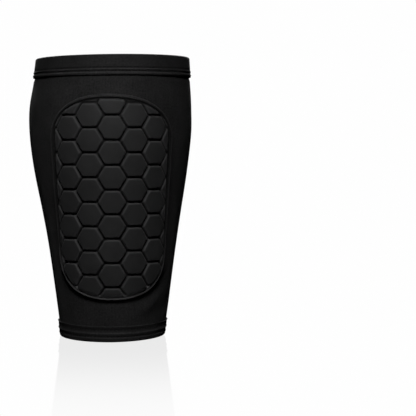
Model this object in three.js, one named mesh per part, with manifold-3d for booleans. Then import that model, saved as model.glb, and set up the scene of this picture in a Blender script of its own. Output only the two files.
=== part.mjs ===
// Padded compression shin guard: a knitted calf sleeve with a honeycomb foam pad on the shin.
// Millimetres. +Z points up the leg, the shin faces -Y, and the outer side of the leg is at -X.
// The sleeve stands on its ankle hem, with the origin under the middle of its box.
import * as THREE from "three";
import Module from "manifold-3d";
import { mergeVertices } from "three/addons/utils/BufferGeometryUtils.js";

// ---------------------------------------------------------------- driving dimensions

// Outline of the sleeve's outer face: half the width across, and how far the section sits to one side.
const STATIONS = [
  { height: 0, halfWidth: 41.9, shift: 0.1 },
  { height: 20, halfWidth: 44.5, shift: 0.4 },
  { height: 60, halfWidth: 49.7, shift: 0.35 },
  { height: 100, halfWidth: 55.85, shift: -0.3 },
  { height: 140, halfWidth: 62.9, shift: -0.9 },
  { height: 165, halfWidth: 65.75, shift: -0.9 },
  { height: 185, halfWidth: 65.55, shift: -0.95 },
  { height: 205, halfWidth: 63.3, shift: 0.2 },
  { height: 225, halfWidth: 61.3, shift: 0.85 },
];
const HEIGHT = STATIONS.at(-1).height;
const SHIN_DEPTH = 1.2; // depth of the front half of a section, as a share of its half width
const CALF_DEPTH = 0.78; // the same for the back half
const STEPS_ROUND = 40; // facets round the leg
const GAP = 0.3; // between pieces that touch

const KNIT_THICKNESS = 0.9;
const TOP_BAND_DEPTH = 16;
const BOTTOM_BAND_DEPTH = 13;
const HEM_CLOTH = 0.6;
const SLEEVE_IN_TOP_BAND = 6; // how far the knitted body reaches into each folded hem
const SLEEVE_IN_BOTTOM_BAND = 6;
const SLEEVE_ROWS = 11;
const THREAD = 0.4;
const TOP_THREAD_HEIGHTS = { upper: 214.8, lower: 212.2 };
const BOTTOM_THREAD_HEIGHTS = { upper: 9.9, lower: 4.4 };
const SEAM_WIDTH = 5;
const SEAM_THICKNESS = 0.6;

// The pad's outline, laid flat: across the shin and up it.
const PAD_BOTTOM = 33.2;
const PAD_TOP = 194;
const PAD_HALF_WIDTH = { low: 47.4, high: 52.0 };
const PAD_STRAIGHT = { low: 72, high: 158 }; // heights between which the sides run straight
const PAD_ROUNDNESS = 2.2; // 2 is an ellipse, more is squarer
const PAD_TOP_LEAN = 0.022; // the top edge falls this much towards the inner side
const PAD_STEPS = 48; // facets round the outline
const BACKING_RINGS = 8;

// Heights of the pad's layers above the sleeve's outer face.
const BACKING = { under: 0.5, top: 1.0 };
const FOAM = { under: 1.5, web: 1.9, top: 4.0 };
const COVER_GROOVE = { under: 2.35, top: 2.8 };
const COVER_CROWN = { under: 4.4, top: 5.0 };
const EDGE_DROP = 0.8; // how much lower the cut-off cells along the two long sides are
const BINDING = { width: 2.0, under: 1.3, top: 4.2, sides: 6 };
const CHANNEL_WIDTH = 1.2; // the sewn channel between the binding and the cells
const BACKING_INSET = 0.1;

// The honeycomb: hexagons with flat tops, in columns up the shin.
const HEX_PITCH = 19.1; // between the flat sides of two neighbours
const HEX_JOINT_HEIGHT = 178; // height of one joint between two cells of the middle column
const MIDDLE_COLUMNS = ["a", "b", "c", "d", "e"]; // from the outer side to the inner side
const EDGE_COLUMN = 3; // counted from the middle one, which is 0
const GROOVE_TOP_INSET = 1.0; // from the middle of a groove to the edge of a crown, on top
const GROOVE_UNDER_INSET = 2.0; // the same on the underside of the cover
const BLOCK_FOOT_INSET = 0.4;
const BLOCK_TOP_INSET = 2.4;
const WEB = { across: 44.2, width: 0.6 };
const SMALLEST_CELL = 1.4; // inner radius below which a cut-off cell has no foam in it
const LARGEST_SHRINK = 0.8; // how far a cell's outline may be drawn in, as a share of the way
const SAME_POINT = 0.02; // points of the flat pattern closer than this are one
const MERGE_DISTANCE = 1e-4; // between vertices that are one in a closed mesh
const LONGEST_EDGE = 8; // longer edges across the shin are split, so that they follow its curve

const COLOURS = {
  knit: 0x1b1b1c,
  hem: 0x19191a,
  elastic: 0x2a2a2b,
  cover: 0x202021,
  binding: 0x161617,
  foam: 0x2d2d2f,
  thread: 0x101011,
};

// ---------------------------------------------------------------- the leg's surface

// A property of STATIONS at any height, on smooth cubic pieces.
function along(height, property) {
  const last = STATIONS.length - 1;
  const next = STATIONS.findIndex((station) => station.height > height);
  const i = next < 0 ? last - 1 : Math.max(next - 1, 0);
  const slopeAt = (j) => {
    const below = STATIONS[Math.max(j - 1, 0)];
    const above = STATIONS[Math.min(j + 1, last)];
    return (above[property] - below[property]) / (above.height - below.height);
  };
  const span = STATIONS[i + 1].height - STATIONS[i].height;
  const t = (height - STATIONS[i].height) / span;
  const start = STATIONS[i][property];
  const end = STATIONS[i + 1][property];
  return (
    start * (2 * t ** 3 - 3 * t ** 2 + 1) +
    end * (3 * t ** 2 - 2 * t ** 3) +
    span * slopeAt(i) * (t ** 3 - 2 * t ** 2 + t) +
    span * slopeAt(i + 1) * (t ** 3 - t ** 2)
  );
}

// A point at an angle round the leg, 0 on the shin, and `out` above the sleeve's outer face.
function onLeg(angle, height, out) {
  const across = along(height, "halfWidth");
  const depth = across * (Math.cos(angle) > 0 ? SHIN_DEPTH : CALF_DEPTH);
  const normal = new THREE.Vector2(depth * Math.sin(angle), -across * Math.cos(angle)).normalize();
  return new THREE.Vector3(
    along(height, "shift") + across * Math.sin(angle) + out * normal.x,
    -depth * Math.cos(angle) + out * normal.y,
    height,
  );
}

// A quarter of a front half section whose half width is 1, from the shin to the side.
const shinArc = new THREE.EllipseCurve(0, 0, 1, SHIN_DEPTH, -Math.PI / 2, 0);

// A point of the pad, given by its distance from the shin's middle measured on the cloth.
function onPad(across, height, out) {
  const reach = across - along(height, "shift");
  const share = shinArc.getUtoTmapping(0, Math.abs(reach) / along(height, "halfWidth"));
  return onLeg((Math.sign(reach) * share * Math.PI) / 2, height, out);
}

// ---------------------------------------------------------------- closed meshes

// A mesh from a list of points and a list of triangles.
function meshGeometry(points, triangles) {
  const geometry = new THREE.BufferGeometry().setFromPoints(points);
  geometry.setIndex(triangles.flat());
  return geometry;
}

// The skin over a run of rings with equally many points. The run joins up with itself, or starts and
// ends in a ring of one point.
function skin(rings, joined) {
  const starts = [];
  let total = 0;
  for (const ring of rings) {
    starts.push(total);
    total += ring.length;
  }
  const around = Math.max(...rings.map((ring) => ring.length));
  const vertex = (r, k) => starts[r] + (rings[r].length === 1 ? 0 : k % around);
  const triangles = [];
  const pairs = joined ? rings.length : rings.length - 1;
  for (let r = 0; r < pairs; r++) {
    const s = (r + 1) % rings.length;
    for (let k = 0; k < around; k++) {
      const quad = [vertex(r, k), vertex(s, k), vertex(s, k + 1), vertex(r, k + 1)];
      if (quad[1] !== quad[2]) triangles.push([quad[0], quad[1], quad[2]]);
      if (quad[0] !== quad[3]) triangles.push([quad[0], quad[2], quad[3]]);
    }
  }
  return meshGeometry(rings.flat(), triangles);
}

// A hoop round the leg. Its profile is a list of [out, height] points, anticlockwise with out to the right.
function hoop(profile) {
  const rings = Array.from({ length: STEPS_ROUND }, (_, i) => {
    const angle = (i / STEPS_ROUND) * 2 * Math.PI;
    return profile.map(([out, height]) => onLeg(angle, height, out));
  });
  return skin(rings, true);
}

const rectangle = (inner, outer, low, high) => [
  [inner, low],
  [outer, low],
  [outer, high],
  [inner, high],
];

// ---------------------------------------------------------------- sleeve, hems and seam

const topBandLow = HEIGHT - TOP_BAND_DEPTH;
const sleeveLow = BOTTOM_BAND_DEPTH - SLEEVE_IN_BOTTOM_BAND;
const sleeveHigh = topBandLow + SLEEVE_IN_TOP_BAND;
const hemOuter = GAP + HEM_CLOTH;
const hemInner = -KNIT_THICKNESS - GAP - HEM_CLOTH;

function sleeveBody() {
  const heights = Array.from({ length: SLEEVE_ROWS + 1 }, (_, i) =>
    THREE.MathUtils.lerp(sleeveLow, sleeveHigh, i / SLEEVE_ROWS),
  );
  const outside = heights.map((height) => [0, height]);
  const inside = heights.toReversed().map((height) => [-KNIT_THICKNESS, height]);
  return hoop([...outside, ...inside]);
}

// A hem folded over at `fold`, with its two open edges at `edge`.
function foldedHem(fold, edge) {
  const up = Math.sign(fold - edge);
  const insideFold = fold - up * HEM_CLOTH;
  const profile = [
    [hemInner, fold],
    [hemInner, edge],
    [hemInner + HEM_CLOTH, edge],
    [hemInner + HEM_CLOTH, insideFold],
    [GAP, insideFold],
    [GAP, edge],
    [hemOuter, edge],
    [hemOuter, fold],
  ];
  return hoop(up > 0 ? profile : profile.toReversed());
}

const elastic = (low, high) => hoop(rectangle(-KNIT_THICKNESS, 0, low, high));

function hemThread(height) {
  const low = height - THREAD / 2;
  const out = hemOuter + GAP;
  return hoop([
    [out, low],
    [out + THREAD, height],
    [out, low + THREAD],
  ]);
}

function backSeam() {
  const heights = Array.from({ length: SLEEVE_ROWS + 1 }, (_, i) =>
    THREE.MathUtils.lerp(BOTTOM_BAND_DEPTH + GAP, topBandLow - GAP, i / SLEEVE_ROWS),
  );
  const rings = heights.map((height) => {
    const middle = onLeg(Math.PI, height, GAP);
    return rectangle(-SEAM_WIDTH / 2, SEAM_WIDTH / 2, 0, SEAM_THICKNESS).map(
      ([x, y]) => new THREE.Vector3(middle.x + x, middle.y + y, height),
    );
  });
  const centre = (ring) => ring.reduce((sum, point) => sum.add(point), new THREE.Vector3()).divideScalar(4);
  return skin([[centre(rings.at(-1))], ...rings.toReversed(), [centre(rings[0])]], false);
}

// ---------------------------------------------------------------- the pad's flat pattern

// The outline, as evenly spaced points (across, height) of the flat pattern, anticlockwise.
function padOutline() {
  const round = (value) => Math.sign(value) * Math.abs(value) ** (2 / PAD_ROUNDNESS);
  const points = Array.from({ length: 4 * PAD_STEPS }, (_, i) => {
    const angle = ((i + 0.5) / (4 * PAD_STEPS)) * 2 * Math.PI;
    const upper = Math.sin(angle) > 0;
    const across = round(Math.cos(angle)) * (upper ? PAD_HALF_WIDTH.high : PAD_HALF_WIDTH.low);
    const rise = round(Math.sin(angle));
    const height = upper
      ? PAD_STRAIGHT.high + rise * (PAD_TOP - PAD_STRAIGHT.high) - PAD_TOP_LEAN * across * rise
      : PAD_STRAIGHT.low + rise * (PAD_STRAIGHT.low - PAD_BOTTOM);
    return new THREE.Vector2(across, height);
  });
  return new THREE.Path([...points, points[0]]).getSpacedPoints(PAD_STEPS).slice(1);
}

// The outline moved inwards along its normals.
function insetOutline(distance) {
  const outline = padOutline();
  return outline.map((point, i) => {
    const before = outline.at(i - 1);
    const after = outline[(i + 1) % outline.length];
    const run = after.clone().sub(before).normalize();
    return new THREE.Vector2(point.x - run.y * distance, point.y + run.x * distance);
  });
}

// The part of a convex polygon that lies inside another, both anticlockwise.
function clip(polygon, window) {
  return window.reduce((kept, from, i) => {
    const edge = window[(i + 1) % window.length].clone().sub(from);
    const side = (point) => edge.cross(point.clone().sub(from));
    return kept.flatMap((point, k) => {
      const next = kept[(k + 1) % kept.length];
      const here = side(point);
      const there = side(next);
      const crossing = here * there < 0 ? [point.clone().lerp(next, here / (here - there))] : [];
      return here >= 0 ? [point, ...crossing] : crossing;
    });
  }, polygon);
}

// Splits the edges of a polygon that run far across the shin.
function splitLongEdges(polygon) {
  return polygon.flatMap((point, k) => {
    const next = polygon[(k + 1) % polygon.length];
    const pieces = Math.ceil(Math.abs(next.x - point.x) / LONGEST_EDGE) || 1;
    return Array.from({ length: pieces }, (_, i) => point.clone().lerp(next, i / pieces));
  });
}

// One cell: its outline, its middle and the distance from there to its nearest edge.
function cell(column, number, polygon) {
  const outline = splitLongEdges(polygon);
  const middle = outline.reduce((sum, point) => sum.add(point), new THREE.Vector2());
  middle.divideScalar(outline.length);
  const distances = polygon.map((from, k) => {
    const edge = polygon[(k + 1) % polygon.length].clone().sub(from);
    return edge.cross(middle.clone().sub(from)) / edge.length();
  });
  const drop = Math.abs(column) === EDGE_COLUMN ? EDGE_DROP : 0;
  return { column, number, outline, middle, radius: Math.min(...distances), drop };
}

// All the cells of the honeycomb, cut off by the pad's edge. Column 0 runs up the middle of the shin.
function honeycomb() {
  const window = insetOutline(BINDING.width + CHANNEL_WIDTH);
  const side = HEX_PITCH / Math.sqrt(3);
  const cells = [];
  for (let column = -EDGE_COLUMN; column <= EDGE_COLUMN; column++) {
    const x = column * side * 1.5;
    const highest = HEX_JOINT_HEIGHT + HEX_PITCH * (column % 2 === 0 ? 1.5 : 1);
    let number = 1;
    for (let y = highest; y > PAD_BOTTOM - HEX_PITCH; y -= HEX_PITCH) {
      const hexagon = Array.from({ length: 6 }, (_, k) => {
        const angle = (k * Math.PI) / 3;
        return new THREE.Vector2(x + side * Math.cos(angle), y + side * Math.sin(angle));
      });
      const polygon = clip(hexagon, window);
      if (polygon.length > 2) cells.push(cell(column, number++, polygon));
    }
  }
  return cells;
}

// The cell's outline drawn in towards its middle.
function shrunk({ outline, middle, radius }, inset) {
  return outline.map((point) => point.clone().lerp(middle, Math.min(inset / radius, LARGEST_SHRINK)));
}

// ---------------------------------------------------------------- the pad's pieces

const lift = (points, out) => points.map((point) => onPad(point.x, point.y, out));

function padBacking() {
  const outline = insetOutline(BACKING_INSET);
  const middle = new THREE.Vector2(0, (PAD_TOP + PAD_BOTTOM) / 2);
  const scaled = (share) => outline.map((point) => middle.clone().lerp(point, share));
  const shares = Array.from({ length: BACKING_RINGS }, (_, i) => (i + 1) / BACKING_RINGS);
  return skin(
    [
      lift([middle], BACKING.top),
      ...shares.map((share) => lift(scaled(share), BACKING.top)),
      ...shares.toReversed().map((share) => lift(scaled(share), BACKING.under)),
      lift([middle], BACKING.under),
    ],
    false,
  );
}

function foamBlock(block) {
  return skin(
    [
      lift([block.middle], FOAM.top - block.drop),
      lift(shrunk(block, BLOCK_TOP_INSET), FOAM.top - block.drop),
      lift(shrunk(block, BLOCK_FOOT_INSET), FOAM.under),
      lift([block.middle], FOAM.under),
    ],
    false,
  );
}

// The web under a run of edge blocks, outside the corners of the next column.
function foamWeb(blocks) {
  const line = Math.sign(blocks[0].column) * WEB.across;
  const inside = line - WEB.width / 2;
  const outside = line + WEB.width / 2;
  const rings = blocks.map(({ middle: { y: height } }) => [
    onPad(inside, height, FOAM.under),
    onPad(inside, height, FOAM.web),
    onPad(outside, height, FOAM.web),
    onPad(outside, height, FOAM.under),
  ]);
  const [first, last] = [blocks[0], blocks.at(-1)].map(({ middle: { y: height } }) => [
    onPad(line, height, (FOAM.web + FOAM.under) / 2),
  ]);
  return skin([first, ...rings, last], false);
}

const wasm = await Module();
wasm.setup();

function solid(geometry) {
  const merged = mergeVertices(geometry, MERGE_DISTANCE);
  return new wasm.Manifold(
    new wasm.Mesh({
      numProp: 3,
      vertProperties: merged.attributes.position.array,
      triVerts: new Uint32Array(merged.index.array),
    }),
  );
}

function edgeFoam(blocks) {
  const joined = blocks.map((block) => solid(foamBlock(block))).reduce((sum, block) => sum.add(block));
  const mesh = joined.add(solid(foamWeb(blocks))).getMesh();
  const geometry = new THREE.BufferGeometry();
  geometry.setAttribute("position", new THREE.BufferAttribute(mesh.vertProperties, 3));
  return geometry.setIndex(new THREE.BufferAttribute(mesh.triVerts, 1));
}

// The cover: every cell rises from the grooves to a flat crown, with the same on its underside.
function padCover(cells) {
  const top = [];
  const under = [];
  const rims = [];
  const triangles = [];
  const addVertex = (topPoint, underPoint) => {
    under.push(underPoint);
    return top.push(topPoint) - 1;
  };
  // Neighbouring cells share the points of the groove between them.
  const rimVertex = (flat) => {
    const shared = rims.find((rim) => rim.flat.distanceTo(flat) < SAME_POINT);
    if (shared) return shared.index;
    const [topPoint] = lift([flat], COVER_GROOVE.top);
    const [underPoint] = lift([flat], COVER_GROOVE.under);
    const index = addVertex(topPoint, underPoint);
    rims.push({ flat, index });
    return index;
  };
  for (const one of cells) {
    const level = one.radius < SMALLEST_CELL ? COVER_GROOVE : COVER_CROWN;
    const drop = one.radius < SMALLEST_CELL ? 0 : one.drop;
    const crown = { top: level.top - drop, under: level.under - drop };
    const topRing = lift(shrunk(one, GROOVE_TOP_INSET), crown.top);
    const underRing = lift(shrunk(one, GROOVE_UNDER_INSET), crown.under);
    const rim = one.outline.map(rimVertex);
    const ring = topRing.map((point, k) => addVertex(point, underRing[k]));
    const middle = addVertex(...lift([one.middle], crown.top), ...lift([one.middle], crown.under));
    rim.forEach((_, k) => {
      const next = (k + 1) % rim.length;
      triangles.push([middle, ring[k], ring[next]]);
      if (rim[k] !== rim[next]) triangles.push([ring[k], rim[k], rim[next]]);
      triangles.push([ring[k], rim[next], ring[next]]);
    });
  }
  const edges = new Set(triangles.flatMap(([a, b, c]) => [`${a} ${b}`, `${b} ${c}`, `${c} ${a}`]));
  const below = top.length;
  const underside = triangles.map(([a, b, c]) => [a + below, c + below, b + below]);
  const walls = [];
  for (const edge of edges) {
    const [a, b] = edge.split(" ").map(Number);
    if (!edges.has(`${b} ${a}`)) walls.push([b, a, a + below], [b, a + below, b + below]);
  }
  return meshGeometry([...top, ...under], [...triangles, ...underside, ...walls]);
}

// A tube round the pad. Its section is a list of [inwards, out] points, clockwise with out upwards.
function padHoop(section) {
  const lines = section.map(([inwards, out]) => lift(insetOutline(inwards), out));
  const rings = Array.from({ length: PAD_STEPS }, (_, i) => lines.map((line) => line[i]));
  return skin(rings, true);
}

function padEdgeBinding() {
  const { width, under, top, sides } = BINDING;
  const section = Array.from({ length: sides }, (_, k) => {
    const angle = (-k / sides) * 2 * Math.PI;
    const inwards = (width / 2) * (1 + Math.cos(angle));
    return [inwards, (under + top) / 2 + ((top - under) / 2) * Math.sin(angle)];
  });
  return padHoop(section);
}

// The row of stitches lies on the backing, in the middle of the channel.
function padEdgeThread() {
  const low = BACKING.top + GAP;
  const line = BINDING.width + CHANNEL_WIDTH / 2;
  return padHoop([
    [line - THREAD / 2, low],
    [line, low + THREAD],
    [line + THREAD / 2, low],
  ]);
}

// ---------------------------------------------------------------- assembly

function material(colour, roughness) {
  return new THREE.MeshStandardMaterial({ color: colour, roughness, metalness: 0 });
}

const assembly = new THREE.Group();

function addPiece(name, geometry, colour, roughness) {
  geometry.computeVertexNormals();
  const mesh = new THREE.Mesh(geometry, material(colour, roughness));
  mesh.name = name;
  assembly.add(mesh);
}

addPiece("sleeve_body", sleeveBody(), COLOURS.knit, 0.8);
addPiece("back_seam", backSeam(), COLOURS.thread, 0.9);
addPiece("top_band", foldedHem(HEIGHT, topBandLow), COLOURS.hem, 0.75);
addPiece("bottom_band", foldedHem(0, BOTTOM_BAND_DEPTH), COLOURS.hem, 0.75);
addPiece("top_elastic", elastic(sleeveHigh + GAP, HEIGHT - HEM_CLOTH - GAP), COLOURS.elastic, 0.8);
addPiece("bottom_elastic", elastic(HEM_CLOTH + GAP, sleeveLow - GAP), COLOURS.elastic, 0.8);
for (const [row, height] of Object.entries(TOP_THREAD_HEIGHTS)) {
  addPiece(`top_hem_thread_${row}`, hemThread(height), COLOURS.thread, 0.6);
}
for (const [row, height] of Object.entries(BOTTOM_THREAD_HEIGHTS)) {
  addPiece(`bottom_hem_thread_${row}`, hemThread(height), COLOURS.thread, 0.6);
}

const cells = honeycomb();
const padded = cells.filter(({ radius }) => radius >= SMALLEST_CELL);
addPiece("pad_backing", padBacking(), COLOURS.knit, 0.85);
for (const block of padded.filter(({ column }) => Math.abs(column) < EDGE_COLUMN)) {
  const name = `foam_block_${MIDDLE_COLUMNS[block.column + 2]}${block.number}`;
  addPiece(name, foamBlock(block), COLOURS.foam, 0.95);
}
for (const [side, edgeColumn] of [["outer", -EDGE_COLUMN], ["inner", EDGE_COLUMN]]) {
  const blocks = padded.filter(({ column }) => column === edgeColumn);
  addPiece(`edge_foam_${side}`, edgeFoam(blocks), COLOURS.foam, 0.95);
}
addPiece("pad_cover", padCover(cells), COLOURS.cover, 0.7);
addPiece("pad_edge_binding", padEdgeBinding(), COLOURS.binding, 0.8);
addPiece("pad_edge_thread", padEdgeThread(), COLOURS.thread, 0.6);

// The origin goes under the middle of the whole part's box.
const box = new THREE.Box3().setFromObject(assembly);
const middle = box.getCenter(new THREE.Vector3());
assembly.position.set(-middle.x, -middle.y, -box.min.z);

const root = new THREE.Group();
root.add(assembly);

export default root;
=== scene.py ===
"""Padded compression shin guard: the looks of a knitted calf sleeve with a honeycomb foam pad.

Lengths are in millimetres in the sleeve's own frame, where the shin faces -Y and the ankle hem
stands at height 0, and they turn into metres of the CAD frame when a mesh is made.
"""
import math

import bmesh
import bpy
import numpy as np
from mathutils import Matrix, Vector


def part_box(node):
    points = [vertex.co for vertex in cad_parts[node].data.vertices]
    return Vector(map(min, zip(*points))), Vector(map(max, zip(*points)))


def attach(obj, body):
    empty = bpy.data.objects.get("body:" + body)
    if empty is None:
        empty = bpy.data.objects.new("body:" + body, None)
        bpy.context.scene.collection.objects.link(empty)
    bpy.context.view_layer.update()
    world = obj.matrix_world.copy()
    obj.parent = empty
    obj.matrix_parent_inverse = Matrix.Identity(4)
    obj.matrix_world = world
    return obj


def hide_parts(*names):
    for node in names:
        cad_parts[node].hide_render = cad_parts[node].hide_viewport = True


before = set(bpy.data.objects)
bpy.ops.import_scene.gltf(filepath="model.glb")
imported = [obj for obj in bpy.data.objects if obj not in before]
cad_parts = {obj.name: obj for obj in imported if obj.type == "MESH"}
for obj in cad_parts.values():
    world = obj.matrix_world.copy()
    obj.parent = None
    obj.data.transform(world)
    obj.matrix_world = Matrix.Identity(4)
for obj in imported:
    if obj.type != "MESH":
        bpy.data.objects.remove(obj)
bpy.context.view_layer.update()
scene = bpy.context.scene

MM = 0.001
MM_IN_METRE = 1000.0

# ---- dimensions of the CAD

# Outline of the sleeve's outer face: height, half the width across, shift to one side.
STATIONS = np.array(
    [
        (0, 41.9, 0.1),
        (20, 44.5, 0.4),
        (60, 49.7, 0.35),
        (100, 55.85, -0.3),
        (140, 62.9, -0.9),
        (165, 65.75, -0.9),
        (185, 65.55, -0.95),
        (205, 63.3, 0.2),
        (225, 61.3, 0.85),
    ]
)
HEIGHT = 225.0
SHIN_DEPTH = 1.2
CALF_DEPTH = 0.78
KNIT_THICKNESS = 0.9
# The hems aren't quite level: each is pulled up on one side.
TOP_TILT, TOP_SAG = 0.8, 0.2
TOP_TILT_START, TOP_TILT_RUN = 190.0, 30.0
BOTTOM_TILT, BOTTOM_TILT_RUN = 0.6, 25.0
SLEEVE_LOW, SLEEVE_HIGH = 7.0, 215.0
TOP_BAND_LOW = 209.0
BOTTOM_BAND_HIGH = 13.0
HEM_CLOTH = 0.6
HEM_OUTER, HEM_INNER = 0.9, -1.8
ELASTIC_OUTER, ELASTIC_INNER = -0.02, -0.88
TOP_ELASTIC = (215.5, 223.6)
BOTTOM_ELASTIC = (1.4, 6.65)
TOP_THREADS = {"upper": 214.8, "lower": 212.2}
BOTTOM_THREADS = {"upper": 9.9, "lower": 4.4}

PAD_BOTTOM, PAD_TOP = 33.2, 194.0
PAD_HALF_WIDTH = {"low": 47.4, "high": 52.0}
PAD_STRAIGHT = {"low": 72.0, "high": 158.0}
PAD_ROUNDNESS = 2.2
PAD_TOP_LEAN = 0.022
RIM = 2.0  # width of the bound edge
CHANNEL = 1.2  # sewn channel between the bound edge and the cells
BACKING_UNDER, BACKING_TOP = 0.5, 1.0
FOAM_UNDER, FOAM_WEB, FOAM_TOP = 1.5, 1.9, 4.0
EDGE_DROP = 0.8
HEX_PITCH = 19.1
HEX_SIDE = HEX_PITCH / math.sqrt(3)
HEX_JOINT = 178.0  # height of a groove across the middle column
LAST_COLUMN = 3  # cut-off blocks along each long side
BLOCKS_IN_COLUMN = 12
SMALLEST_CELL = 1.4
WEB_ACROSS = 44.2  # where the web that joins the cut-off blocks runs
WEB_HALF = 0.28


# ---- the leg's surface


def along(height, column):
    """A column of STATIONS at any height, on smooth cubic pieces."""
    heights, values = STATIONS[:, 0], STATIONS[:, column]
    last = len(heights) - 1
    below = np.maximum(np.arange(last + 1) - 1, 0)
    above = np.minimum(np.arange(last + 1) + 1, last)
    slopes = (values[above] - values[below]) / (heights[above] - heights[below])
    height = np.asarray(height, float)
    i = np.clip(np.searchsorted(heights, height, side="right") - 1, 0, last - 1)
    span = heights[i + 1] - heights[i]
    t = (height - heights[i]) / span
    return (
        values[i] * (2 * t**3 - 3 * t**2 + 1)
        + values[i + 1] * (3 * t**2 - 2 * t**3)
        + span * slopes[i] * (t**3 - 2 * t**2 + t)
        + span * slopes[i + 1] * (t**3 - t**2)
    )


def on_leg(angle, height, out):
    """Points at an angle round the leg, 0 on the shin, and out above the sleeve's face."""
    angle, height, out = np.broadcast_arrays(angle, height, out)
    upper = np.clip((height - TOP_TILT_START) / TOP_TILT_RUN, 0, 1)
    lower = np.clip((BOTTOM_TILT_RUN - height) / BOTTOM_TILT_RUN, 0, 1)
    tilted = height + (TOP_TILT * np.sin(angle) - TOP_SAG) * upper
    tilted = tilted + BOTTOM_TILT * np.clip(np.sin(angle), 0, 1) * lower
    wide = along(height, 1)
    deep = wide * np.where(np.cos(angle) > 0, SHIN_DEPTH, CALF_DEPTH)
    normal = np.stack([deep * np.sin(angle), -wide * np.cos(angle)], -1)
    normal /= np.linalg.norm(normal, axis=-1, keepdims=True)
    x = along(height, 2) + wide * np.sin(angle) + out * normal[..., 0]
    y = -deep * np.cos(angle) + out * normal[..., 1]
    return np.stack([x, y, tilted], -1)


def quarter_arc(depth):
    """Angles and lengths along a quarter section whose half width is 1."""
    angles = np.linspace(0, math.pi / 2, 400)
    middles = (angles[1:] + angles[:-1]) / 2
    steps = np.hypot(np.cos(middles), depth * np.sin(middles)) * np.diff(angles)
    return angles, np.concatenate([[0], np.cumsum(steps)])


SHIN_ANGLES, SHIN_LENGTHS = quarter_arc(SHIN_DEPTH)
CALF_ANGLES, CALF_LENGTHS = quarter_arc(CALF_DEPTH)
GIRTH = 2 * (SHIN_LENGTHS[-1] + CALF_LENGTHS[-1])  # of a section whose half width is 1


def on_pad(across, height, out):
    """Points of the pad, by the distance from the shin's middle measured on the cloth."""
    reach = np.asarray(across, float) - along(height, 2)
    angle = np.interp(np.abs(reach) / along(height, 1), SHIN_LENGTHS, SHIN_ANGLES)
    return on_leg(np.sign(reach) * angle, height, out)


def girth_share(angle):
    """Length along a section of half width 1, from the back at -pi round to the back at pi."""
    size = np.abs(angle)
    front = np.interp(size, SHIN_ANGLES, SHIN_LENGTHS)
    back = GIRTH / 2 - np.interp(math.pi - size, CALF_ANGLES, CALF_LENGTHS)
    return np.sign(angle) * np.where(size < math.pi / 2, front, back)


def angles_round(count):
    """Evenly spaced angles from the back at -pi to just before pi, by length on the cloth."""
    angles = np.linspace(-math.pi, math.pi, 2001)
    wanted = (np.arange(count) / count - 0.5) * GIRTH
    return np.interp(wanted, girth_share(angles), angles)


def waves(x, y, seed, count, longest, shortest):
    """Gentle deterministic unevenness, about -1 to 1, over two lengths on the cloth."""
    random = np.random.default_rng(seed)
    total = np.zeros(np.broadcast(x, y).shape)
    for _ in range(count):
        heading, phase = random.uniform(0, 2 * math.pi, 2)
        length = random.uniform(shortest, longest)
        run = x * math.cos(heading) + y * math.sin(heading)
        total += np.sin(2 * math.pi * run / length + phase)
    return total / math.sqrt(count)


def cad_origin():
    """The CAD's origin is under the middle of its box, and the sleeve's box says where that is."""
    angles = np.linspace(-math.pi, math.pi, 721)[:, None]
    heights = np.linspace(SLEEVE_LOW, SLEEVE_HIGH, 200)[None, :]
    shape = on_leg(angles, heights, 0.0).reshape(-1, 3)
    low, high = (np.array(corner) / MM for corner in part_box("sleeve_body"))
    origin = (low + high) / 2 - (shape.min(0) + shape.max(0)) / 2
    origin[2] = 0.0
    return origin


ORIGIN = cad_origin()


# ---- meshes


def new_object(name, points, faces, material, uv=None):
    """An object from points in millimetres, with a UV map of lengths on the cloth in metres."""
    mesh = bpy.data.meshes.new(name)
    points = (np.asarray(points, float).reshape(-1, 3) + ORIGIN) * MM
    mesh.from_pydata(points.tolist(), [], faces)
    mesh.materials.append(material)
    mesh.polygons.foreach_set("use_smooth", [True] * len(mesh.polygons))
    if uv is not None:
        layer = mesh.uv_layers.new(name="Cloth")
        corners = np.empty(len(mesh.loops), np.int32)
        mesh.loops.foreach_get("vertex_index", corners)
        layer.data.foreach_set("uv", (np.asarray(uv, float).reshape(-1, 2) * MM)[corners].ravel())
    mesh.validate()
    mesh.update()
    obj = bpy.data.objects.new(name, mesh)
    scene.collection.objects.link(obj)
    return obj


def grid_faces(rows, columns, wrap_rows=False, wrap_columns=False):
    """Quads over a grid of points stored row by row."""
    r = np.arange(rows if wrap_rows else rows - 1)[:, None]
    c = np.arange(columns if wrap_columns else columns - 1)[None, :]
    r2, c2 = (r + 1) % rows, (c + 1) % columns
    quads = np.stack([r * columns + c, r * columns + c2, r2 * columns + c2, r2 * columns + c], -1)
    return quads.reshape(-1, 4)


def hoop(name, material, outs, heights, columns, lift=None):
    """A closed profile of (out, height) points, anticlockwise, swept round the leg."""
    outs, heights = np.asarray(outs, float), np.asarray(heights, float)
    angles = angles_round(columns)
    run = girth_share(angles)[None, :] * along(heights, 1)[:, None]
    out = np.repeat(outs[:, None], columns, 1)
    if lift is not None:
        out = out + lift(run, heights[:, None])
    points = on_leg(angles[None, :], heights[:, None], out)
    uv = np.stack([run, np.repeat(heights[:, None], columns, 1)], -1)
    faces = grid_faces(len(outs), columns, wrap_rows=True, wrap_columns=True).tolist()
    return new_object(name, points, faces, material, uv)


def unit(vectors):
    """Each row of an array made one long."""
    return vectors / np.linalg.norm(vectors, axis=1, keepdims=True)


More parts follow.
